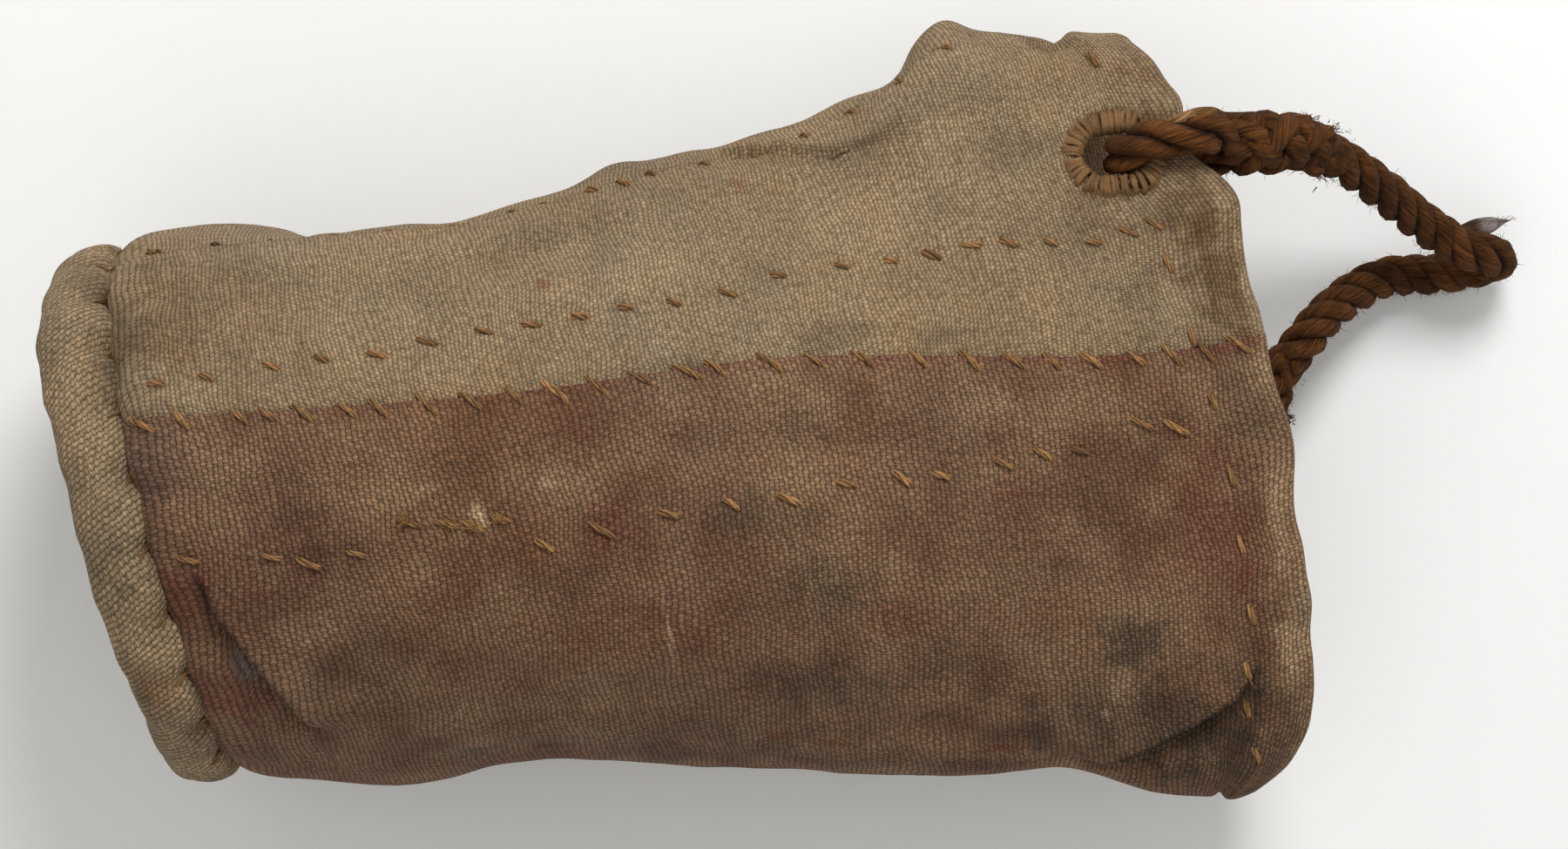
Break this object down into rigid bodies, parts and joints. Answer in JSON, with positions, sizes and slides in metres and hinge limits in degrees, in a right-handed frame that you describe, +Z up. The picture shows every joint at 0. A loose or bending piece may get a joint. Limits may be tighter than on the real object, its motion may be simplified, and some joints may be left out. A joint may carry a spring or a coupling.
{
  "type": "canvas bag with rope becket",
  "caption": "Old hand-sewn canvas bag lying on its side, with a roped round base, lapped seams in coarse twine, a flattened open mouth and a spliced rope handle.",
  "frame": {"origin": "on the surface that the bag lies on, under the middle of the bag's box without the becket", "axes": "+X from the base to the open mouth, +Y across the bag towards the side of the front eyelet, +Z up from the surface"},
  "size_m": [0.3509, 0.199, 0.1364],
  "materials": {
    "canvas_tan": "matte",
    "canvas_red": "matte",
    "canvas_lining": "matte",
    "twine": "matte",
    "eyelet_twine": "matte",
    "rope": "matte",
    "rope_core": "matte"
  },
  "bodies": {
    "bag": {"tan_panel": "canvas_tan", "red_panel": "canvas_red", "back_panel": "canvas_tan", "seam_strip": "canvas_lining", "mouth_tabling": "canvas_lining", "base_disc": "canvas_tan", "base_rim": "canvas_tan", "rim_core": "rope_core", "front_grommet": "eyelet_twine", "front_eyelet_twine": "eyelet_twine", "rear_grommet": "eyelet_twine", "rear_eyelet_twine": "eyelet_twine", "main_seam_stitches": "twine", "upper_row_stitches": "twine", "lower_row_stitches": "twine", "side_seam_stitches": "twine", "under_seam_stitches": "twine", "hem_stitches": "twine", "rim_stitches": "twine"},
    "becket": {"front_eye": "rope", "front_splice": "rope", "becket_rope": "rope", "rear_splice": "rope", "rear_eye": "rope", "loose_strand": "rope"}
  },
  "joints": [
    {"name": "becket_swing", "type": "hinge", "parent": "bag", "child": "becket", "pos_m": [0.11551, 0.05826, 0.07055], "axis": [-0.1043, -0.8744, -0.4738], "range_deg": [0, 18]}
  ]
}
